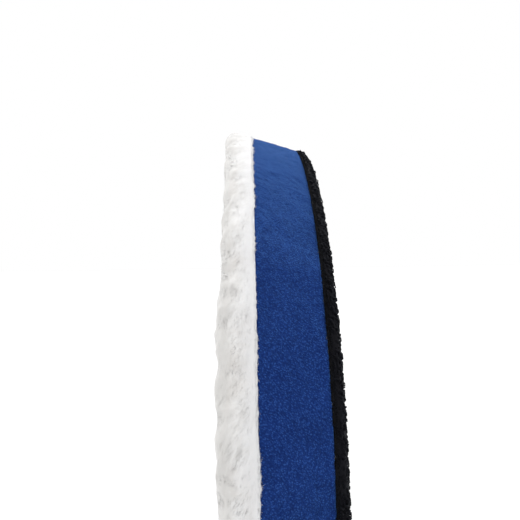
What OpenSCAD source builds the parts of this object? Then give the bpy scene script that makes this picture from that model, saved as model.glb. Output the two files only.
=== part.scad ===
// Polishing pad: a round laminate of pile fabric, tapered foam and hook-and-loop backing.
// The pad's axis is X. The loop face lies on the YZ plane and looks along +X, and the
// working pile looks along -X. The origin is the centre of the loop face.

/* [Foam interlayer] */
// Diameter of the foam where it meets the pile fabric
foam_front_d = 150; // [125:0.5:165]
// Diameter of the foam where it meets the loop backing
foam_back_d = 143.2; // [118:0.2:158]
// Thickness of the foam
foam_t = 10.3; // [6:0.1:20]

/* [Pile fabric] */
// Height of the pile above its ground fabric
pile_h = 5.1; // [4.5:0.1:14]
// Radius of the pile's front edge, where the outer fibres splay
pile_edge_r = 2.2; // [1:0.1:2.2]
// How far the splayed fibres stand proud of the ground fabric's rim
pile_splay = 0.5; // [0:0.1:1]
// Thickness of the knitted ground fabric that holds the pile
pile_ground_t = 0.7; // [0.4:0.1:1.2]
// How far the ground fabric's cut edge stands proud of the foam
pile_ground_proud = 0.2; // [0:0.1:0.6]
// Thickness of the binder that locks the pile into its ground fabric
binder_t = 0.2; // [0.1:0.05:0.4]

/* [Loop backing] */
// Height of the loops above their ground fabric
loop_h = 1.7; // [1:0.1:2.5]
// Thickness of the loop fabric's knitted ground
loop_ground_t = 0.6; // [0.3:0.1:1]

/* [Lamination] */
// Thickness of each hot-melt adhesive layer
adhesive_t = 0.2; // [0.1:0.05:0.4]
// How far the hidden layers stay inside the rim
adhesive_inset = 0.6; // [0.2:0.1:2]

/* [Hidden] */
$fn = 180;

foam_front_r = foam_front_d / 2;
foam_back_r = foam_back_d / 2;
pile_ground_r = foam_front_r + pile_ground_proud;
pile_r = pile_ground_r + pile_splay;

// Depth of each layer's back surface below the loop face
loop_ground_z = loop_h;
back_adhesive_z = loop_ground_z + loop_ground_t;
foam_z = back_adhesive_z + adhesive_t;
face_adhesive_z = foam_z + foam_t;
binder_z = face_adhesive_z + adhesive_t;
pile_ground_z = binder_z + binder_t;
pile_z = pile_ground_z + pile_ground_t;

// Stacks a layer at its depth, with the depth running along -X
module at_depth(z) {
    rotate([0, -90, 0])
        translate([0, 0, z])
            children();
}

// Brushed loops that the hooks of a backing plate grip: the outer rows lean in, so that
// the edge is a quarter round
module loop_pile() {
    color([0.10, 0.10, 0.12])
        at_depth(loop_h)
            mirror([0, 0, 1])
                rotate_extrude()
                    union() {
                        square([foam_back_r - loop_h, loop_h]);
                        translate([foam_back_r - loop_h, 0])
                            intersection() {
                                circle(loop_h);
                                square(loop_h);
                            }
                    }
}

// Knitted ground of the loop fabric
module loop_ground() {
    color([0.07, 0.07, 0.08])
        at_depth(loop_ground_z)
            cylinder(h = loop_ground_t, r = foam_back_r);
}

// Hot-melt layer between the loop fabric and the foam
module back_adhesive() {
    color([0.75, 0.72, 0.60])
        at_depth(back_adhesive_z)
            cylinder(h = adhesive_t, r = foam_back_r - adhesive_inset);
}

// Fine-cell foam, ground to a taper that widens towards the pile
module foam_interlayer() {
    color([0.15, 0.27, 0.55])
        at_depth(foam_z)
            cylinder(h = foam_t, r1 = foam_back_r, r2 = foam_front_r);
}

// Hot-melt layer between the foam and the pile fabric
module face_adhesive() {
    color([0.75, 0.72, 0.60])
        at_depth(face_adhesive_z)
            cylinder(h = adhesive_t, r = foam_front_r - adhesive_inset);
}

// Binder coat on the back of the ground fabric, which locks the pile yarns
module pile_binder() {
    color([0.90, 0.89, 0.85])
        at_depth(binder_z)
            cylinder(h = binder_t, r = foam_front_r - adhesive_inset);
}

// Knitted ground fabric that the pile yarns stand in
module pile_ground() {
    color([0.93, 0.93, 0.94])
        at_depth(pile_ground_z)
            cylinder(h = pile_ground_t, r = pile_ground_r);
}

// Pile of cut microfibre tufts: upright over the ground, splayed at the front edge
module pile_tufts() {
    color([0.95, 0.95, 0.95])
        at_depth(pile_z)
            rotate_extrude()
                union() {
                    square([pile_ground_r, pile_h - pile_edge_r]);
                    square([pile_r - pile_edge_r, pile_h]);
                    translate([pile_r - pile_edge_r, pile_h - pile_edge_r])
                        circle(pile_edge_r);
                }
}

loop_pile();
loop_ground();
back_adhesive();
foam_interlayer();
face_adhesive();
pile_binder();
pile_ground();
pile_tufts();
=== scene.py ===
"""The looks of a round polishing pad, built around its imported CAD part.

The pad's axis is X. Its black loops face +X and its white pile faces -X. Everything is in
metres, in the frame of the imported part. The hidden adhesive and binder layers keep their CAD
shapes. The foam, both fabrics, the loops and the pile are modelled here.
"""

import math
from itertools import product
from types import SimpleNamespace

import bpy
import numpy as np
from mathutils import Matrix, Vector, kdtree


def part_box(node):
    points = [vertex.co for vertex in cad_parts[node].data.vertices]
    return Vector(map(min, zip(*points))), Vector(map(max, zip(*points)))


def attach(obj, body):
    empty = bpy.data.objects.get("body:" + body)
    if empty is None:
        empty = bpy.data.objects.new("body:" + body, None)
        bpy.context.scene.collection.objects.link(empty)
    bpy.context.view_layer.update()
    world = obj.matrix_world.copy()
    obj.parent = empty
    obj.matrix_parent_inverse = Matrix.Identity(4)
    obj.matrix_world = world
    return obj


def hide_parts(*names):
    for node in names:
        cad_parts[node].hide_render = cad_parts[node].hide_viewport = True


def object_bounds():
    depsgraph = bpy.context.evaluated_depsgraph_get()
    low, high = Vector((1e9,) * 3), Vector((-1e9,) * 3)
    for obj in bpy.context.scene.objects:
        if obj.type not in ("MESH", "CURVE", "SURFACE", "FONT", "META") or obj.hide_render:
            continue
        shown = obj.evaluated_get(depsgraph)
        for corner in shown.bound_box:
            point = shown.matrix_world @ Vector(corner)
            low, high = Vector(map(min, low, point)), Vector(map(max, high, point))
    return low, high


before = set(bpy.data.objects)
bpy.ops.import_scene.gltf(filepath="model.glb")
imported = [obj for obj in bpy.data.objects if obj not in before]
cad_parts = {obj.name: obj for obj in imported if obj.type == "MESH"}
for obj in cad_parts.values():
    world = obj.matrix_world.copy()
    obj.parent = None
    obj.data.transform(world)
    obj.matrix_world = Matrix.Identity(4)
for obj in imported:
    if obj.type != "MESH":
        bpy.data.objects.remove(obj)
cad_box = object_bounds()

MM = 0.001
TURN = 2 * math.pi
STREAK_SLANT = math.radians(58)  # how far the pile's strands slant from the axis, round the rim


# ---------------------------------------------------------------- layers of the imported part

def layer(node):
    """Where a CAD layer starts and ends along the pad's axis, and its radius."""
    low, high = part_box(node)
    return SimpleNamespace(back=high.x, front=low.x, radius=high.z)


LOOPS = layer("loop_pile")
LOOP_CLOTH = layer("loop_ground")
FOAM = layer("foam_interlayer")
PILE_CLOTH = layer("pile_ground")
PILE = layer("pile_tufts")


# ---------------------------------------------------------------- numbers and noise

def smoothstep(low, high, value):
    """0 below low, 1 above high, and a smooth rise between them."""
    t = np.clip((value - low) / (high - low), 0, 1)
    return t * t * (3 - 2 * t)


SCATTER = np.array([73856093, 19349663, 83492791])  # large primes, one for each axis


def lattice_noise(points, size, seed):
    """Smooth noise from -1 to 1 at each point, with features about size across."""
    table = np.random.default_rng(seed).uniform(-1, 1, 4096)
    scaled = points / size
    cell = np.floor(scaled).astype(np.int64)
    share = scaled - cell
    share = share * share * (3 - 2 * share)
    total = np.zeros(len(points))
    for corner in product((0, 1), repeat=3):
        at = cell + corner
        index = np.bitwise_xor.reduce(at * SCATTER, axis=1) % len(table)
        total += np.prod(np.where(corner, share, 1 - share), axis=1) * table[index]
    return total


def layered_noise(points, size, seed, octaves=3):
    """Lattice noise with finer layers of half the size and half the strength."""
    return sum(lattice_noise(points, size / 2 ** k, seed + k) / 2 ** k for k in range(octaves))


def unit(vectors):
    """The same vectors at length 1."""
    return vectors / np.maximum(np.linalg.norm(vectors, axis=-1, keepdims=True), 1e-12)


def around_axis(x, radius, angle):
    """Points at these places along X, radii and angles from +Y towards +Z."""
    x, radius, angle = np.broadcast_arrays(x, radius, angle)
    return np.stack([x, radius * np.cos(angle), radius * np.sin(angle)], axis=-1)


# ---------------------------------------------------------------- meshes

def make_piece(name, points, face_groups, material):
    """A smooth-shaded mesh piece that rides on the pad. Each group of faces has one number
    of corners."""
    mesh = bpy.data.meshes.new(name)
    corners = np.concatenate([g.ravel() for g in face_groups])
    sizes = np.concatenate([np.full(len(g), g.shape[1]) for g in face_groups])
    mesh.vertices.add(len(points))
    mesh.vertices.foreach_set("co", np.asarray(points, np.float32).ravel())
    mesh.loops.add(len(corners))
    mesh.loops.foreach_set("vertex_index", corners.astype(np.int32))
    mesh.polygons.add(len(sizes))
    starts = np.concatenate([[0], np.cumsum(sizes)[:-1]])
    mesh.polygons.foreach_set("loop_start", starts.astype(np.int32))
    mesh.polygons.foreach_set("use_smooth", np.ones(len(sizes), bool))
    mesh.update(calc_edges=True)
    mesh.validate()
    piece = bpy.data.objects.new(name, mesh)
    bpy.context.scene.collection.objects.link(piece)
    mesh.materials.append(material)
    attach(piece, "root")
    return piece


def turned(profile, around, coarse_from=None):
    """Points and faces of the closed surface that a profile makes when it is turned about X.
    The profile's (x, radius) points run from the back, over the rim, to the front. The rings
    of its points from coarse_from on have half as many points as the others."""
    rows = len(profile)
    counts = np.full(rows, around)
    if coarse_from is not None:
        counts[coarse_from:] = around // 2
    place = np.repeat(profile, counts, axis=0)
    angle = np.concatenate([np.arange(count) * TURN / count for count in counts])
    rings = around_axis(place[:, 0], place[:, 1], angle)
    poles = np.array([[profile[0, 0], 0, 0], [profile[-1, 0], 0, 0]])
    points = np.concatenate([rings, poles])
    first = np.concatenate([[0], np.cumsum(counts)])
    quads, triangles = [], []
    for row in range(rows - 1):
        outer, inner, count = first[row], first[row + 1], counts[row + 1]
        this, after = np.arange(count), (np.arange(count) + 1) % count
        if counts[row] == count:
            quads.append(np.stack([outer + this, inner + this, inner + after, outer + after], axis=-1))
        else:
            near, middle, far = outer + 2 * this, outer + 2 * this + 1, outer + 2 * after
            triangles.append(np.stack([near, inner + this, middle], axis=-1))
            triangles.append(np.stack([middle, inner + this, inner + after], axis=-1))
            triangles.append(np.stack([middle, inner + after, far], axis=-1))
    for row, pole, toward in ((0, len(rings), 1), (rows - 1, len(rings) + 1, -1)):
        this, after = np.arange(counts[row]), (np.arange(counts[row]) + 1) % counts[row]
        fan = np.stack([np.full(counts[row], pole), first[row] + this, first[row] + after], axis=-1)
        triangles.append(fan[:, ::toward])
    return points, [np.concatenate(quads), np.concatenate(triangles)]


def line(start, end, step):
    """Points from start up to but not including end, about step apart."""
    start, end = np.array(start, float), np.array(end, float)
    count = max(1, round(np.linalg.norm(end - start) / step))
    return start + (end - start) * (np.arange(count) / count)[:, None]


def arc(centre, radius, start, end, step):
    """Points on an arc about centre, with angles from +x towards +radius."""
    count = max(2, round(abs(end - start) * radius / step))
    angle = start + (end - start) * np.arange(count) / count
    return np.array(centre) + radius * np.stack([np.cos(angle), np.sin(angle)], axis=-1)


def spikes(root, bend, tip, width, rings):
    """Closed tapered fibres with three sides, on curves from root through bend to tip."""
    count = len(root)
    t = (np.arange(rings) / rings)[None, :, None]
    root, bend, tip = root[:, None], bend[:, None], tip[:, None]
    centre = (1 - t) ** 2 * root + 2 * t * (1 - t) * bend + t * t * tip
    ahead = unit((1 - t) * (bend - root) + t * (tip - bend))
    side = unit(np.cross(ahead, [0.0, 0.6, 0.8]))
    up = np.cross(side, ahead)
    radius = width[:, None, None] / 2 * (1 - 0.7 * t ** 1.5)
    turn = np.arange(3) * TURN / 3
    ring = (centre[:, :, None] + radius[:, :, None] * (
        side[:, :, None] * np.cos(turn)[:, None] + up[:, :, None] * np.sin(turn)[:, None]))
    points = np.concatenate([ring.reshape(count, -1, 3), tip], axis=1)
    first = np.arange(count)[:, None, None] * (3 * rings + 1)
    this, after = np.arange(3), (np.arange(3) + 1) % 3
    row = np.arange(rings - 1)[:, None] * 3
    side_faces = np.stack([row + this, row + after, row + 3 + after, row + 3 + this], axis=-1)
    quads = first[..., None] + side_faces[None]
    end = 3 * (rings - 1)
    tip_faces = np.stack([end + this, end + after, np.full(3, 3 * rings)], axis=-1)
    root_face = np.array([[2, 1, 0]])
    triangles = first + np.concatenate([tip_faces, root_face])[None]
    return points.reshape(-1, 3), [quads.reshape(-1, 4), triangles.reshape(-1, 3)]


def tubes(path, flat_normal, width):
    """Closed four-sided tubes along paths (count, steps, 3) that each lie in about one plane."""
    count, steps = path.shape[:2]
    ahead = unit(np.gradient(path, axis=1))
    across = unit(flat_normal[:, None] - ahead * np.sum(flat_normal[:, None] * ahead, -1, keepdims=True))
    out = np.cross(ahead, across)
    turn = np.arange(4) * TURN / 4 + TURN / 8
    radius = (width / 2)[:, None, None, None]
    ring = path[:, :, None] + radius * (
        across[:, :, None] * np.cos(turn)[:, None] + out[:, :, None] * np.sin(turn)[:, None])
    first = np.arange(count)[:, None, None, None] * 4 * steps
    this, after = np.arange(4), (np.arange(4) + 1) % 4
    row = np.arange(steps - 1)[:, None] * 4
    sides = np.stack([row + this, row + after, row + 4 + after, row + 4 + this], axis=-1)
    ends = np.stack([this[::-1], 4 * (steps - 1) + this])
    side_quads = (first + sides[None]).reshape(-1, 4)
    end_quads = (first[..., 0] + ends[None]).reshape(-1, 4)
    return ring.reshape(-1, 3), [np.concatenate([side_quads, end_quads])]


# ---------------------------------------------------------------- materials

class Shader:
    """A node material around one Principled shader, with short ways to add its textures."""

    def __init__(self, name, **settings):
        self.material = bpy.data.materials.new(name)
        self.material.use_nodes = True
        self.tree = self.material.node_tree
        self.tree.nodes.clear()
        output = self.tree.nodes.new("ShaderNodeOutputMaterial")
        self.principled = self.tree.nodes.new("ShaderNodeBsdfPrincipled")
        self.tree.links.new(self.principled.outputs["BSDF"], output.inputs["Surface"])
        for socket, value in settings.items():
            self.principled.inputs[socket.replace("_", " ")].default_value = value
        self.place = self.tree.nodes.new("ShaderNodeTexCoord").outputs["Object"]

    def add(self, kind, settings=None, **inputs):
        """A node, with its settings, and its inputs set to values or linked to sockets. An
        input goes by its name, or by its number as in i0 or i6."""
        node = self.tree.nodes.new(kind)
        for key, value in (settings or {}).items():
            setattr(node, key, value)
        for key, value in inputs.items():
            socket = node.inputs[int(key[1:])] if key[0] == "i" and key[1:].isdigit() else node.inputs[key]
            if isinstance(value, bpy.types.NodeSocket):
                self.tree.links.new(value, socket)
            else:
                socket.default_value = value
        return node

    def stretched(self, sizes, turn=0.0):
        """The place on the piece, measured in sizes along axes turned about Y."""
        return self.add("ShaderNodeMapping", {"vector_type": "TEXTURE"}, Vector=self.place,
                        Rotation=(0, turn, 0), Scale=sizes).outputs["Vector"]

    def noise(self, size, detail=3, place=None):
        """Noise from 0 to 1 with features about size metres across."""
        return self.add("ShaderNodeTexNoise", Vector=place or self.place, Scale=1 / size,
                        Detail=detail, Roughness=0.55).outputs["Fac"]

    def cells(self, size, place=None):
        """Distance to the middle of the nearest of the cells that are about size across."""
        return self.add("ShaderNodeTexVoronoi", Vector=place or self.place,
                        Scale=1 / size).outputs["Distance"]

    def ramp(self, value, *stops):
        """A colour ramp through (place, colour) stops."""
        node = self.add("ShaderNodeValToRGB", Fac=value)
        band = node.color_ramp
        band.elements[0].position, band.elements[1].position = stops[0][0], stops[-1][0]
        for position, _ in stops[1:-1]:
            band.elements.new(position)
        for element, (_, colour) in zip(band.elements, stops):
            element.color = (*colour, 1)
        return node.outputs["Color"]

    def blend(self, first, second, share, kind="MIX"):
        """Two colours mixed by a share."""
        return self.add("ShaderNodeMix", {"data_type": "RGBA", "blend_type": kind},
                        i0=share, i6=first, i7=second).outputs[2]

    def maths(self, operation, first, second):
        """One sum on two values."""
        return self.add("ShaderNodeMath", {"operation": operation}, i0=first, i1=second).outputs[0]

    def within(self, value, low, high):
        """A value from 0 to 1 fitted to the range from low to high."""
        return self.add("ShaderNodeMapRange", Value=value,
                        **{"To Min": low, "To Max": high}).outputs["Result"]

    def rise(self, value, low, high):
        """0 below low, 1 above high, and a smooth rise between them."""
        return self.add("ShaderNodeMapRange", {"interpolation_type": "SMOOTHSTEP"}, Value=value,
                        **{"From Min": low, "From Max": high}).outputs["Result"]

    def axial(self):
        """The place along the pad's axis, and the distance from it."""
        x, y, z = self.add("ShaderNodeSeparateXYZ", Vector=self.place).outputs
        squares = self.maths("ADD", self.maths("MULTIPLY", y, y), self.maths("MULTIPLY", z, z))
        return x, self.maths("POWER", squares, 0.5)

    def bump(self, height, depth, strength=1.0):
        """A bump of that depth in metres from a height from 0 to 1."""
        return self.add("ShaderNodeBump", Height=height, Distance=depth,
                        Strength=strength).outputs["Normal"]

    def finish(self, colour, roughness=None, normal=None):
        """Links the textures to the shader and gives the material."""
        for socket, value in (("Base Color", colour), ("Roughness", roughness), ("Normal", normal)):
            if value is not None:
                self.tree.links.new(value, self.principled.inputs[socket])
        return self.material


def foam_material():
    """Fine-cell blue foam: pale cell walls round dark pores, with a bloom at grazing angles."""
    s = Shader("blue_foam", Specular_IOR_Level=0.08, Sheen_Weight=0.66, Sheen_Roughness=0.4,
               Sheen_Tint=(0.13, 0.38, 1.0, 1))
    cells = s.cells(1, s.stretched((0.38 * MM, 0.21 * MM, 0.21 * MM), math.radians(40)))
    grain = s.noise(0.18 * MM, detail=2)
    patches = s.noise(5 * MM, detail=3)
    tone = s.maths("ADD", s.maths("MULTIPLY", cells, 0.75), s.maths("MULTIPLY", grain, -0.45))
    colour = s.ramp(s.maths("ADD", tone, 0.35),
                    (0.24, (0.0270, 0.0840, 0.310)), (0.34, (0.0115, 0.0430, 0.213)),
                    (0.46, (0.0068, 0.0286, 0.160)), (0.64, (0.0047, 0.0203, 0.123)))
    shade = s.ramp(patches, (0.3, (0.84, 0.88, 0.91)), (0.7, (1.12, 1.1, 1.06)))
    colour = s.blend(colour, shade, 1.0, "MULTIPLY")
    mottle = s.ramp(s.noise(1.3 * MM, detail=2), (0.32, (0.82, 0.86, 0.89)), (0.56, (1.06, 1.05, 1.04)))
    colour = s.blend(colour, mottle, 1.0, "MULTIPLY")
    relief = s.maths("SUBTRACT", s.maths("MULTIPLY", grain, 0.65), s.maths("MULTIPLY", cells, 0.3))
    normal = s.bump(relief, 0.5 * MM, s.within(patches, 1.0, 0.6))
    return s.finish(colour, s.within(grain, 0.8, 1.0), normal)


def pile_material(name, depth, **settings):
    """White microfibre: warmer in patches, with painted light, whiter and a little blue, near its
    cloth, and painted shade, darker and a little warm, round its front edge. A depth of 0 leaves
    out the bump, for single fibres."""
    s = Shader(name, Specular_IOR_Level=0.2, Sheen_Weight=0.2, Sheen_Roughness=0.5, **settings)
    strands = s.noise(1, detail=3, place=s.stretched((1.5 * MM, 0.3 * MM, 0.3 * MM), -STREAK_SLANT))
    locks = s.noise(1, detail=2, place=s.stretched((4.5 * MM, 1.5 * MM, 1.5 * MM), -STREAK_SLANT))
    clouds = s.noise(7 * MM, detail=3)
    colour = s.ramp(strands, (0.3, (0.715, 0.708, 0.700)), (0.5, (0.742, 0.737, 0.730)),
                    (0.7, (0.762, 0.760, 0.757)))
    shade = s.ramp(clouds, (0.38, (0.935, 0.922, 0.910)), (0.58, (1.015, 1.015, 1.015)))
    tufts = s.ramp(locks, (0.38, (0.945, 0.94, 0.935)), (0.6, (1.025, 1.025, 1.025)))
    x, radius = s.axial()
    # Painted shade: darker and a little warmer round the front edge, but not over the middle of the face.
    front = s.maths("MULTIPLY", s.rise(x, PILE.front + 2.8 * MM, PILE.front + 0.8 * MM),
                    s.rise(radius, PILE.radius - 6 * MM, PILE.radius - 2 * MM))
    # Painted light: a whiter, slightly blue band by the cloth, with a ragged edge.
    uneven = s.maths("MULTIPLY", s.noise(3 * MM, detail=2), 4 * MM)
    painted_light_by_cloth = s.rise(s.maths("ADD", x, uneven), PILE.back - 1.2 * MM, PILE.back + 2.4 * MM)
    colour = s.blend(colour, tufts, 1.0, "MULTIPLY")
    colour = s.blend(colour, shade, 1.0, "MULTIPLY")
    # Painted shade round the front edge.
    colour = s.blend(colour, (0.615, 0.605, 0.59, 1), s.maths("MULTIPLY", front, 0.9))
    # Painted light by the cloth.
    colour = s.blend(colour, (0.745, 0.745, 0.757, 1), s.maths("MULTIPLY", painted_light_by_cloth, 0.75))
    if not depth:
        return s.finish(colour)
    return s.finish(colour, s.within(strands, 0.85, 1.0), s.bump(strands, depth))


def knit_material(name, dark, light, pitch, depth, **settings):
    """A fine warp knit: columns of stitches with a loop of yarn in each."""
    s = Shader(name, Specular_IOR_Level=0.1, **settings)
    columns = s.add("ShaderNodeTexWave", {"wave_type": "BANDS", "bands_direction": "Y"},
                    Vector=s.place, Scale=1 / pitch / TURN * 2, Distortion=1.5, Detail=2).outputs["Fac"]
    stitches = s.add("ShaderNodeTexWave", {"wave_type": "BANDS", "bands_direction": "Z"},
                     Vector=s.place, Scale=1 / pitch / TURN * 3, Distortion=2.5, Detail=2).outputs["Fac"]
    yarn = s.noise(0.15 * MM, detail=2)
    height = s.maths("ADD", s.maths("MULTIPLY", columns, 0.5), s.maths("MULTIPLY", stitches, 0.3))
    height = s.maths("ADD", height, s.maths("MULTIPLY", yarn, 0.25))
    colour = s.ramp(height, (0.25, dark), (0.8, light))
    return s.finish(colour, s.within(yarn, 0.7, 0.95), s.bump(height, depth))


def loop_material():
    """Black brushed nylon, a little greyer where the filaments catch the light. On the face
    its nap lies in clouds, brightened by painted sheen."""
    s = Shader("loop_nylon", Specular_IOR_Level=0.12, Sheen_Weight=0.035, Sheen_Roughness=0.4,
               Sheen_Tint=(0.6, 0.75, 1.0, 1))
    filaments = s.noise(1, detail=3, place=s.stretched((0.12 * MM, 0.24 * MM, 0.34 * MM)))
    dust = s.noise(2.5 * MM, detail=3)
    clouds = s.noise(11 * MM, detail=3)
    _, radius = s.axial()
    face = s.rise(radius, LOOPS.radius - 1.0 * MM, LOOPS.radius - 4.0 * MM)
    colour = s.ramp(filaments, (0.3, (0.0018, 0.0018, 0.0034)), (0.55, (0.0032, 0.0033, 0.0060)),
                    (0.78, (0.0072, 0.0076, 0.0120)))
    shade = s.ramp(dust, (0.35, (0.85, 0.85, 0.85)), (0.7, (1.25, 1.22, 1.18)))
    # Painted sheen: clouds on the face up to five times brighter, where a brushed nap would catch the
    # light.
    brushed = s.noise(1.4 * MM, detail=1)
    tufts = s.maths("ADD", s.maths("MULTIPLY", clouds, 0.6), s.maths("MULTIPLY", brushed, 0.4))
    painted_nap_sheen = s.ramp(tufts, (0.38, (1.1, 1.1, 1.1)), (0.62, (5.0, 4.9, 4.4)))
    colour = s.blend(colour, shade, 1.0, "MULTIPLY")
    colour = s.blend(colour, painted_nap_sheen, face, "MULTIPLY")
    return s.finish(colour, s.within(filaments, 0.55, 0.9))


def cut_yarn_material():
    """Cut ends of the backing's ground yarns, greyed by the glue they sit in."""
    s = Shader("cut_yarn", Specular_IOR_Level=0.3)
    tone = s.noise(0.5 * MM, detail=2)
    colour = s.ramp(tone, (0.42, (0.006, 0.006, 0.008)), (0.62, (0.10, 0.10, 0.105)))
    return s.finish(colour, s.within(tone, 0.6, 0.9))


def film_material(name, low, high, roughness):
    """A bonded layer: slightly uneven in colour and gloss, with a pebbled surface."""
    s = Shader(name, Specular_IOR_Level=0.4)
    web = s.cells(1.2 * MM)
    grain = s.noise(0.4 * MM)
    colour = s.ramp(s.maths("MULTIPLY", web, 1.2), (0.1, low), (0.8, high))
    normal = s.bump(grain, 0.05 * MM)
    return s.finish(colour, s.within(grain, roughness - 0.1, roughness + 0.1), normal)


# ---------------------------------------------------------------- foam

FOAM_WAVE = 0.32 * MM  # how far the foam's cut rim wanders in and out
FOAM_CELLS = 0.07 * MM  # how far its cells roughen it


def foam_wave(points):
    """How far the foam's cut rim stands out at each point."""
    return FOAM_WAVE * layered_noise(points, 9 * MM, 11, octaves=4)


def make_foam():
    """The tapered foam: its cut rim is cellular and slightly uneven. At both faces the rim
    rolls over the glue line, which ends short of it."""
    around, step, lip, corner = 1440, 0.24 * MM, 0.8 * MM, 0.14 * MM
    back, front = FOAM.back + 0.18 * MM, FOAM.front - 0.45 * MM
    back_r, front_r = LOOP_CLOTH.radius, FOAM.radius
    profile = np.concatenate([
        line((FOAM.back, 0.2 * back_r), (FOAM.back, back_r - lip), 14 * MM),
        line((FOAM.back, back_r - lip), (back, back_r - lip / 2), lip / 3),
        line((back, back_r - lip / 2), (back, back_r - corner), lip / 3),
        line((back, back_r - corner), (back - corner, back_r), corner / 2),
        line((back - corner, back_r), (front + corner, front_r), step),
        line((front + corner, front_r), (front, front_r - corner), corner / 2),
        line((front, front_r - corner), (front, front_r - lip / 2), lip / 3),
        line((front, front_r - lip / 2), (FOAM.front, front_r - lip), lip / 3),
        line((FOAM.front, front_r - lip), (FOAM.front, 0.2 * front_r), 14 * MM),
    ])
    points, faces = turned(profile, around)
    radius = np.linalg.norm(points[:, 1:], axis=1)
    outward = points * [0, 1, 1] / np.maximum(radius, 1e-9)[:, None]
    slope = np.interp(points[:, 0], [front, back], [front_r, back_r])
    rim = smoothstep(0.5 * MM, 0.1 * MM, slope - radius)
    cells = FOAM_CELLS * layered_noise(points, 0.8 * MM, 17, octaves=2)
    points = points + outward * (rim * (foam_wave(points) + cells))[:, None]
    foam = make_piece("foam_body", points, faces, foam_material())
    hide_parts("foam_interlayer")


# ---------------------------------------------------------------- cloths

def make_cloth(name, where, material, pitch, swell, spill, seed):
    """A ground fabric: a thin disc whose cut edge swells at each yarn, and spills over the
    foam's edge there."""
    around, step = 1500, 0.16 * MM
    edge = (where.back - where.front) / 2
    middle = (where.back + where.front) / 2
    flat_r = where.radius - edge
    profile = np.concatenate([
        line((where.back, 0.15 * flat_r), (where.back, flat_r), 9 * MM),
        arc((middle, flat_r), edge, 0, math.pi, step),
        line((where.front, flat_r), (where.front, 0.15 * flat_r), 9 * MM),
    ])
    points, faces = turned(profile, around)
    radius = np.linalg.norm(points[:, 1:], axis=1)
    angle = np.arctan2(points[:, 2], points[:, 1])
    outward = points * [0, 1, 1] / np.maximum(radius, 1e-9)[:, None]
    rim = smoothstep(flat_r - 0.1 * MM, where.radius, radius)
    count = round(TURN * where.radius / pitch)
    uneven = lattice_noise(points, 2.0 * pitch, seed)
    bumps = np.cos(angle * count + 2.2 * uneven) * 0.6 + 0.7 * lattice_noise(points, 0.6 * pitch, seed + 1)
    foam_side, toward_foam = (where.back, 1) if where.back < FOAM.front else (where.front, -1)
    near_foam = np.abs(points[:, 0] - foam_side) < edge
    crest = rim * near_foam * np.maximum(bumps + 0.4, 0)
    points = points + outward * (swell * crest)[:, None]
    points[:, 0] += toward_foam * spill * crest
    return make_piece(name, points, faces, material)


# ---------------------------------------------------------------- loops

def loop_paths(foot, along, out, height, span, steps):
    """Paths of round loops that stand on foot in the plane of along and out."""
    t = np.linspace(0, 1, steps)[None, :, None]
    rise = np.sin(math.pi * t) ** 0.75
    reach = -np.cos(math.pi * t) * (0.6 + 0.5 * np.sin(math.pi * t))
    return (foot[:, None] + along[:, None] * (span[:, None, None] / 2) * reach
            + out[:, None] * height[:, None, None] * rise)


LOOP_PROUD = 0.22 * MM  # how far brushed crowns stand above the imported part's flat loop face


def make_rim_loops(material):
    """Rows of loops that fan out round the rounded edge of the loop fabric, in loose strands."""
    rng = np.random.default_rng(31)
    depth = LOOPS.back - LOOPS.front
    pitch, strands = 1.2 * MM, 4
    root_r = LOOPS.radius - depth
    count = round(TURN * root_r / pitch)
    outer = ((1.42, depth), (1.08, depth + 0.7 * LOOP_PROUD))
    inner = ((0.74, depth + LOOP_PROUD), (0.4, depth + LOOP_PROUD), (0.08, depth + LOOP_PROUD))
    pieces = []
    for name, rows, steps in (("loop_rim_outer", outer, 7), ("loop_rim_inner", inner, 6)):
        paths, normals, widths = [], [], []
        for row, (lean_out, height) in enumerate(rows):
            angle = (np.arange(count) + 0.5 * (row % 2) + rng.uniform(-0.2, 0.2, count)) * TURN / count
            radial = around_axis(0.0, 1.0, angle)
            round_rim = around_axis(0.0, 1.0, angle + TURN / 4)
            tilt = (lean_out + rng.normal(0, 0.06, count))[:, None]
            out = np.cos(tilt) * [1.0, 0, 0] + np.sin(tilt) * radial
            foot = around_axis(LOOPS.front - 0.05 * MM, root_r + rng.normal(0, 0.15 * MM, count), angle)
            for _ in range(strands):
                slant = rng.normal(0.5, 0.55, count)[:, None]
                along = unit(round_rim * np.cos(slant) + np.cross(out, round_rim) * np.sin(slant))
                width = rng.uniform(0.20, 0.32, count) * MM
                nudge = rng.normal(0, 0.22 * MM, (count, 3)) * [0.3, 1, 1]
                span = pitch * rng.uniform(0.6, 1.3, count)
                tall = height * rng.uniform(0.90, 1.0, count) - width / 2
                paths.append(loop_paths(foot + nudge, along, out, tall, span, steps))
                normals.append(unit(np.cross(along, out)))
                widths.append(width)
        points, faces = tubes(np.concatenate(paths), np.concatenate(normals), np.concatenate(widths))
        pieces.append(make_piece(name, points, faces, material))
    return pieces


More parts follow.
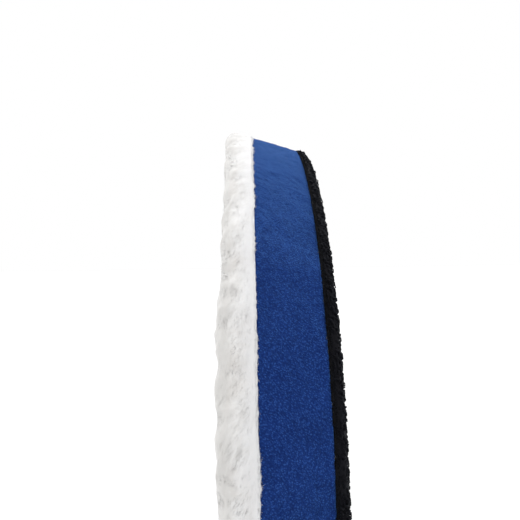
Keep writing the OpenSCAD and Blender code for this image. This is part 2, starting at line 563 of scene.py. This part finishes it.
def make_face_loops(material):
    """Loops over the flat of the loop face, along the knit's columns. They lean together in
    patches, as a brushed nap does."""
    rng = np.random.default_rng(37)
    column, stitch = 1.3 * MM, 1.25 * MM
    flat_r = LOOPS.radius - 1.9 * MM
    y, z = np.meshgrid(np.arange(-flat_r, flat_r, column), np.arange(-flat_r, flat_r, stitch))
    z = z + stitch / 2 * (np.arange(y.shape[1]) % 2)
    foot = np.stack([np.full(y.size, LOOPS.front - 0.05 * MM), y.ravel(), z.ravel()], -1)
    foot[:, 1:] += rng.normal(0, 0.16 * MM, (len(foot), 2))
    foot = foot[np.linalg.norm(foot[:, 1:], axis=1) < flat_r]
    count = len(foot)
    patch = [layered_noise(foot, 13 * MM, seed, octaves=2) for seed in (38, 43, 47)]
    turn = 0.5 + 1.6 * patch[0] + rng.normal(0, 0.3, count)
    along = np.stack([np.zeros(count), np.sin(turn), np.cos(turn)], -1)
    lean_y = 0.7 * patch[1] + rng.normal(0, 0.15, count)
    lean_z = 0.25 + 0.7 * patch[2] + rng.normal(0, 0.15, count)
    out = unit(np.stack([np.ones(count), lean_y, lean_z], -1))
    along = unit(along - out * np.sum(along * out, -1, keepdims=True))
    width = rng.uniform(0.30, 0.46, count) * MM
    height = (LOOPS.back - LOOPS.front + LOOP_PROUD) * rng.uniform(0.84, 1.04, count) - width / 2
    span = rng.uniform(0.8, 1.5, count) * MM
    normal = np.cross(along, out)
    pieces = []
    names = "loop_face_low", "loop_face_middle", "loop_face_high"
    for name, part in zip(names, np.array_split(np.argsort(foot[:, 2]), len(names))):
        path = loop_paths(foot[part], along[part], out[part], height[part], span[part], 6)
        points, faces = tubes(path, normal[part], width[part])
        pieces.append(make_piece(name, points, faces, material))
    return pieces


def make_edge_yarns(name, count, x, spread, width, material):
    """Short ends of yarn that lie over the cut edge of the loop fabric. Their count is also
    their seed."""
    rng = np.random.default_rng(count)
    angle = rng.uniform(0, TURN, count)
    radius = LOOP_CLOTH.radius
    start = x + rng.uniform(-spread, spread, count)
    root = around_axis(start, radius - 0.2 * MM, angle)
    drift = rng.normal(0.005, 0.005, count)
    rise = rng.uniform(0.08, 0.3, count) * MM
    bend = around_axis(start + rng.normal(0, 0.1 * MM, count), radius + rise, angle + 0.4 * drift)
    tip = around_axis(start + rng.normal(0, 0.2 * MM, count), radius + 0.3 * rise, angle + drift)
    points, faces = spikes(root, bend, tip, rng.uniform(0.6, 1.2, count) * width, 3)
    return make_piece(name, points, faces, material)


def make_loop_bed(material):
    """The matted roots of the loops, which fill the space under their crowns."""
    around, step = 1100, 0.35 * MM
    sink = 0.18 * MM
    edge = LOOPS.back - LOOPS.front - sink
    flat_r = LOOPS.radius - 0.2 * MM - edge
    profile = np.concatenate([
        arc((LOOPS.front, flat_r), edge, 0, math.pi / 2, step),
        [[LOOPS.front, flat_r + edge]],
        line((LOOPS.front - 0.05 * MM, flat_r + edge), (LOOPS.front - 0.05 * MM, 0.2 * flat_r), 12 * MM),
    ])
    face = line((LOOPS.back - sink, 0.01 * flat_r), (LOOPS.back - sink, flat_r), 1.1 * MM)
    profile = np.concatenate([face, profile])
    points, faces = turned(profile, around)
    lumps = 0.12 * MM * layered_noise(points, 1.1 * MM, 41, octaves=2)
    points = points + lumps[:, None] * unit(points * [0, 1, 1] + [0.02, 0, 0])
    bed = make_piece("loop_bed", points, faces, material)
    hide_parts("loop_pile")
    return bed


# ---------------------------------------------------------------- pile

PILE_H = PILE.back - PILE.front
CLUMP = 2.3 * MM  # spacing of the clumps on the working face
PILE_EDGE = 2.2 * MM  # radius of the front edge
FACE_SINK = 0.4 * MM  # how far the mass lies below the tips of the face's fibres
FACE_FADE = 6.0 * MM  # how wide the band is between the rim's surface and the face's
EDGE_END = PILE_H + 2 * MM  # how far along the outline the front edge ends


def clump_centres():
    """Middles of the soft clumps that the fibres gather in, on a loose triangular grid."""
    rng = np.random.default_rng(51)
    reach = PILE.radius + CLUMP
    rows = np.arange(-reach, reach, CLUMP * math.sqrt(3) / 2)
    columns = np.arange(-reach, reach, CLUMP)
    grid = [(y + CLUMP / 2 * (row % 2), z) for row, z in enumerate(rows) for y in columns]
    centres = np.array(grid) + rng.normal(0, 0.32 * CLUMP, (len(grid), 2))
    return centres[np.linalg.norm(centres, axis=1) < reach]


CENTRES = clump_centres()
CENTRE_TREE = kdtree.KDTree(len(CENTRES))
for number, (y, z) in enumerate(CENTRES):
    CENTRE_TREE.insert((0, y, z), number)
CENTRE_TREE.balance()


def lean(places):
    """How far the pile's tips lean over at each (y, z) place, as a swirl across the pad."""
    points = np.concatenate([np.zeros((len(places), 1)), places], axis=1)
    sway = [layered_noise(points, 7 * MM, seed, octaves=2) for seed in (61, 67)]
    return 0.75 * MM * np.stack(sway, axis=-1)


def nearest_clump(places):
    """The index of the clump at each (y, z) place."""
    return np.array([CENTRE_TREE.find((0, y, z))[1] for y, z in places])


def pile_outline():
    """The pile's (x, radius) outline: from its round lip over the cut edge of its cloth, over
    the bulging rim and the rounded front edge, to the face's middle."""
    step = 0.28 * MM
    lip, rise = 0.25 * MM, 1.8 * MM
    lip_x, lip_r = PILE_CLOTH.back - 0.20 * MM - lip, PILE_CLOTH.radius + 0.10 * MM
    t = np.arange(7)[:, None] / 7
    swell = PILE.radius - lip_r
    quarter = t * TURN / 4
    ease = np.concatenate([lip_x - rise * (1 - np.cos(quarter)), lip_r + swell * np.sin(quarter)], 1)
    middle = PILE.front + PILE_EDGE
    flat = PILE.radius - PILE_EDGE
    sunk = PILE.front + FACE_SINK
    return np.concatenate([
        arc((lip_x, lip_r - lip), lip, 0, math.pi / 2, lip / 2),
        ease,
        line((lip_x - rise, PILE.radius), (middle, PILE.radius), step),
        arc((middle, flat), PILE_EDGE, math.pi / 2, math.pi, step),
        line((PILE.front, flat), (sunk, flat - FACE_FADE), 0.5 * MM),
        line((sunk, flat - FACE_FADE), (sunk, 0.02 * flat), 0.8 * MM),
        [(sunk, 0.015 * flat)],
    ])


OUTLINE = pile_outline()
REACH = np.concatenate([[0], np.cumsum(np.linalg.norm(np.diff(OUTLINE, axis=0), axis=1))])
AHEAD = unit(np.gradient(OUTLINE, REACH, axis=0))


TUFT_PITCH = 1.6 * MM  # spacing of the tufts at the edge of the pile's cloth
TUFT_SPILL = 0.6 * MM  # how far the largest of them could spill over the foam

# These seeds were searched for, so that the rim's lumps, the drift of its edge and its matted
# stretches fall near where the photograph shows them. Other seeds give equally good pads.
LUMP_SEED, SMALL_LUMP_SEED = 446, 169
EDGE_DRIFT_SEED = 2663
MATTED_SEED = 1245


def tuft_crest(angle):
    """From 0 to 1 round the rim: how far the tufts at the cloth's edge spill over the foam."""
    points = around_axis(0.0, PILE.radius, angle)
    swing = 2.4 * lattice_noise(points, 2.6 * TUFT_PITCH, 75)
    lobes = np.abs(np.sin(angle * round(TURN * PILE.radius / TUFT_PITCH) / 2 + swing)) ** 0.8
    size = 0.5 + 0.8 * lattice_noise(points, 1.3 * TUFT_PITCH, 76)
    drift = lattice_noise(points, 4 * TUFT_PITCH, EDGE_DRIFT_SEED)
    frayed = lattice_noise(points, 0.4 * TUFT_PITCH, 79)
    return np.clip(0.33 + 0.36 * lobes * size + 0.28 * drift + 0.13 * frayed, 0, 1)


def pile_surface(reach, angle):
    """Points on the lumpy outside of the pile, so far along its outline, and the way out there."""
    x, radius = np.interp(reach, REACH, OUTLINE[:, 0]), np.interp(reach, REACH, OUTLINE[:, 1])
    out_x, out_r = -np.interp(reach, REACH, AHEAD[:, 1]), np.interp(reach, REACH, AHEAD[:, 0])
    clear = smoothstep(0, 1.5 * MM, reach)
    settled = smoothstep(0, 3.5 * MM, reach)
    wave = foam_wave(around_axis(FOAM.front, FOAM.radius, angle))
    radius = radius + (1 - settled) * np.maximum(wave, 0)
    points = around_axis(x, radius, angle)
    out = -unit(around_axis(out_x, out_r, angle))
    slanted = angle + math.tan(STREAK_SLANT) * (x - PILE.back) / PILE.radius
    sheared = around_axis(x, radius, slanted)
    lumps = 0.55 * lattice_noise(points, 9 * MM, LUMP_SEED)
    lumps += 0.32 * lattice_noise(points, 4.4 * MM, SMALL_LUMP_SEED)
    lumps += 0.12 * lattice_noise(points, 2.1 * MM, 72)
    matted = smoothstep(-0.7, 0.7, lattice_noise(points, 14 * MM, MATTED_SEED))
    locks = 0.04 * lattice_noise(sheared, 1.0 * MM, 74)
    locks -= (0.06 + 0.64 * matted) * np.abs(lattice_noise(sheared, 3.2 * MM, 73))
    locks -= (0.75 - 0.45 * matted) * np.abs(lattice_noise(points, 3.4 * MM, 80))
    points = points + out * (settled * (lumps + locks + 0.17) * MM)[:, None]
    points[:, 0] += (1 - clear) * TUFT_SPILL * tuft_crest(angle)
    return points, out


def dimpled_surface(reach, angle):
    """Points on the outside of the pile, with hollows between the clumps of its face."""
    points, out = pile_surface(reach, angle)
    places = points[:, 1:] - lean(points[:, 1:])
    gap = np.linalg.norm(places - CENTRES[nearest_clump(places)], axis=1)
    rim = PILE.radius - PILE_EDGE
    inner = smoothstep(rim, rim - FACE_FADE, np.linalg.norm(points[:, 1:], axis=1)) * (reach > PILE_H)
    dimple = 0.5 * MM * smoothstep(0.25 * CLUMP, 0.8 * CLUMP, gap) * inner
    return points - out * dimple[:, None]


def make_pile_body(material):
    """The dense mass of the pile, with a finer mesh over its lumpy rim than over its face."""
    around = 1200
    back_x = PILE.back + 0.02 * MM
    back = [(back_x, 0.2 * PILE.radius), (back_x, OUTLINE[0, 1] - 0.1 * MM)]
    join = int(np.searchsorted(REACH, EDGE_END + FACE_FADE))
    points, faces = turned(np.concatenate([back, OUTLINE]), around, len(back) + join)
    reach = np.repeat(REACH, np.where(np.arange(len(REACH)) < join, around, around // 2))
    outside = slice(len(back) * around, len(back) * around + len(reach))
    angle = np.arctan2(points[outside, 2], points[outside, 1])
    points[outside] = dimpled_surface(reach, angle)
    body = make_piece("pile_body", points, faces, material)
    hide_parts("pile_tufts")
    return body


def grow(roots, length, gather, rng):
    """Bends and tips of fibres that lean over together and gather in clumps."""
    places = roots[:, 1:]
    clump = CENTRES[nearest_clump(places)]
    sway = lean(places)
    pulled = places + gather[:, None] * (clump - places) + sway
    pulled = pulled + rng.normal(0, 0.14 * MM, pulled.shape)
    tip = np.concatenate([(roots[:, 0] - length)[:, None], pulled], axis=1)
    belly = places + 0.35 * sway + rng.normal(0, 0.12 * MM, pulled.shape)
    bend = np.concatenate([(roots[:, 0] - 0.55 * length)[:, None], belly], axis=1)
    return bend, tip


def make_rim_fibres(material):
    """Matted fibres that lie over the rim of the pile and round its front edge."""
    rng = np.random.default_rng(81)
    count = 30000
    angle = np.sort(rng.uniform(0, TURN, count))
    start = np.where(rng.random(count) < 0.72, rng.uniform(0, EDGE_END, count),
                     EDGE_END + FACE_FADE * rng.uniform(0, 1, count) ** 1.6)
    length = rng.uniform(0.9, 2.0, count) * MM
    slant = STREAK_SLANT + rng.normal(0, 0.30, count)
    curl = rng.normal(0, 0.25, count)
    lift = rng.uniform(0.0, 0.05, count) * MM
    ends = []
    for share, turn, height in ((0, 0, -0.06 * MM), (0.5, -curl, lift), (1, curl, 0.3 * lift)):
        reach = start + share * length * np.cos(slant + turn)
        spin = share * length * np.sin(slant + turn) / PILE.radius
        points, out = pile_surface(reach, angle + spin)
        ends.append(points + out * np.broadcast_to(height, count)[:, None])
    width = rng.uniform(0.02, 0.045, count) * MM
    pieces = []
    names = "pile_rim_far", "pile_rim_near", "pile_rim_low"
    for name, part in zip(names, np.array_split(np.arange(count), len(names))):
        points, faces = spikes(ends[0][part], ends[1][part], ends[2][part], width[part], 3)
        pieces.append(make_piece(name, points, faces, material))
    return pieces


def make_face_fibres(material):
    """Locks of fibre over the working face, seen by their tips."""
    rng = np.random.default_rng(91)
    spacing = 0.6 * MM
    flat = PILE.radius - PILE_EDGE
    reach = flat + 0.6 * PILE_EDGE
    y, z = np.meshgrid(np.arange(-reach, reach, spacing), np.arange(-reach, reach, spacing))
    places = np.stack([y.ravel(), z.ravel()], -1) + rng.uniform(-0.5, 0.5, (y.size, 2)) * spacing
    places = places[np.linalg.norm(places, axis=1) < reach]
    count = len(places)
    start = PILE.back - 0.45 * PILE_H
    roots = np.concatenate([np.full((count, 1), start), places], axis=1)
    beyond = np.maximum(np.linalg.norm(places, axis=1) - flat, 0)
    drop = PILE_EDGE - np.sqrt(PILE_EDGE ** 2 - beyond ** 2)
    length = (start - PILE.front - drop) * rng.uniform(0.82, 1.0, count)
    bend, tip = grow(roots, length, 0.6 * rng.uniform(0.6, 1.2, count), rng)
    width = rng.uniform(0.28, 0.5, count) * MM
    pieces = []
    upwards = np.argsort(places[:, 1], kind="stable")
    names = "pile_face_low", "pile_face_middle", "pile_face_high"
    for name, part in zip(names, np.array_split(upwards, len(names))):
        points, faces = spikes(roots[part], bend[part], tip[part], width[part], 2)
        pieces.append(make_piece(name, points, faces, material))
    return pieces


def make_edge_fuzz(material):
    """Short fine fibres at the cut edge of the pile's cloth, which curl over the foam's rim."""
    rng = np.random.default_rng(97)
    count = 16000
    angle = rng.uniform(0, TURN, count)
    roots, out = pile_surface(rng.uniform(0.0, 0.7, count) * MM, angle)
    spill = rng.uniform(0.04, 0.42, count) * MM * (0.3 + tuft_crest(angle))
    drift = rng.normal(0.001, 0.003, count)
    lift = rng.uniform(0.02, 0.10, count) * MM
    root_r = np.linalg.norm(roots[:, 1:], axis=1)
    bend = around_axis(roots[:, 0] + 0.5 * spill, root_r + lift, angle + 0.5 * drift)
    rest = FOAM.radius + foam_wave(roots) + rng.uniform(0.05, 0.3, count) * MM
    tip = around_axis(roots[:, 0] + spill, rest, angle + drift)
    width = rng.uniform(0.03, 0.06, count) * MM
    points, faces = spikes(roots - 0.05 * MM * out, bend, tip, width, 2)
    return make_piece("pile_edge_fuzz", points, faces, material)


# ---------------------------------------------------------------- the pad

make_foam()

pile_cloth = make_cloth(
    "pile_cloth", PILE_CLOTH,
    knit_material("pile_knit", (0.80, 0.81, 0.84), (0.86, 0.87, 0.90), 0.8 * MM, 0.05 * MM,
                  Sheen_Weight=0.2, Sheen_Roughness=0.5),
    pitch=1.25 * MM, swell=0.05 * MM, spill=0.05 * MM, seed=21)
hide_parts("pile_ground")

pile = [make_pile_body(pile_material("pile_mass", 0.08 * MM, Subsurface_Weight=0.6,
                                     Subsurface_Radius=(1.0, 0.97, 0.94), Subsurface_Scale=0.4 * MM))]
fibre_material = pile_material("microfibre", 0, Subsurface_Weight=1.0,
                               Subsurface_Radius=(1.0, 1.0, 1.0), Subsurface_Scale=0.4 * MM)
pile += make_rim_fibres(fibre_material)
pile += make_face_fibres(fibre_material)
pile.append(make_edge_fuzz(fibre_material))

loop_cloth = make_cloth(
    "loop_cloth", LOOP_CLOTH,
    knit_material("loop_knit", (0.0015, 0.0015, 0.002), (0.007, 0.007, 0.008), 0.9 * MM, 0.05 * MM),
    pitch=0.9 * MM, swell=0.10 * MM, spill=0.06 * MM, seed=23)
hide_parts("loop_ground")

nylon = loop_material()
loops = [
    make_loop_bed(nylon), *make_rim_loops(nylon), *make_face_loops(nylon),
    make_edge_yarns("loop_edge_nap", 9000, LOOP_CLOTH.back - 0.3 * MM, 0.35 * MM, 0.13 * MM, nylon),
    make_edge_yarns("loop_cut_yarns", 260, LOOP_CLOTH.front - 0.02 * MM, 0.14 * MM, 0.14 * MM,
                    cut_yarn_material()),
]

hidden_layers = {
    "back_adhesive": film_material("hot_melt_back", (0.20, 0.17, 0.12), (0.42, 0.37, 0.28), 0.45),
    "face_adhesive": film_material("hot_melt_face", (0.55, 0.53, 0.46), (0.75, 0.72, 0.62), 0.45),
    "pile_binder": film_material("acrylic_binder", (0.72, 0.71, 0.67), (0.86, 0.85, 0.80), 0.7),
}
for node, material in hidden_layers.items():
    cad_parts[node].data.materials.clear()
    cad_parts[node].data.materials.append(material)


# ---------------------------------------------------------------- floor, light and camera

def make_floor():
    """A wide pale floor that the pad's rim stands on, by the fibres that hang below it."""
    half, fibres_below = 6.0, 0.45 * MM
    low = cad_box[0].z - fibres_below
    mesh = bpy.data.meshes.new("floor")
    corners = [(-half, -half, low), (half, -half, low), (half, half, low), (-half, half, low)]
    mesh.from_pydata(corners, [], [(0, 1, 2, 3)])
    floor = bpy.data.objects.new("floor", mesh)
    bpy.context.scene.collection.objects.link(floor)
    s = Shader("floor_paper", Roughness=0.9, Specular_IOR_Level=0.1)
    fibres = s.noise(10 * MM, detail=2)
    colour = s.ramp(fibres, (0.3, (0.755, 0.755, 0.755)), (0.7, (0.775, 0.775, 0.775)))
    mesh.materials.append(s.finish(colour))


def make_light():
    """An even white tent, with a broad soft key above."""
    world = bpy.data.worlds.new("studio")
    bpy.context.scene.world = world
    world.use_nodes = True
    world.node_tree.nodes["Background"].inputs["Color"].default_value = (1, 1, 1, 1)
    world.node_tree.nodes["Background"].inputs["Strength"].default_value = 1.0
    softness, tilt_back, tilt_side = math.radians(60), math.radians(-20), math.radians(-10)
    key = bpy.data.lights.new("key", "SUN")
    key.energy = 1.6
    key.angle = softness
    lamp = bpy.data.objects.new("key", key)
    lamp.rotation_euler = (tilt_back, tilt_side, 0)
    bpy.context.scene.collection.objects.link(lamp)


def make_camera():
    """A near camera above the axis, looking level at the rim, as in the photograph."""
    side, distance, height = FOAM.front - 1.42 * MM, 141.0 * MM, 42.7 * MM
    aim, roll = math.radians(1.28), math.radians(0.67)
    camera = bpy.data.objects.new("camera", bpy.data.cameras.new("camera"))
    camera.data.lens = 34.6
    camera.data.sensor_width = 36.0
    camera.data.clip_start = 0.005
    camera.location = (side, -distance, height)
    look = Matrix.Rotation(-aim, 4, "Z") @ Matrix.Rotation(math.radians(90), 4, "X")
    camera.matrix_world = Matrix.Translation(camera.location) @ look @ Matrix.Rotation(-roll, 4, "Z")
    bpy.context.scene.collection.objects.link(camera)
    bpy.context.scene.camera = camera


make_floor()
make_light()
make_camera()
bpy.context.scene.view_settings.view_transform = "Standard"
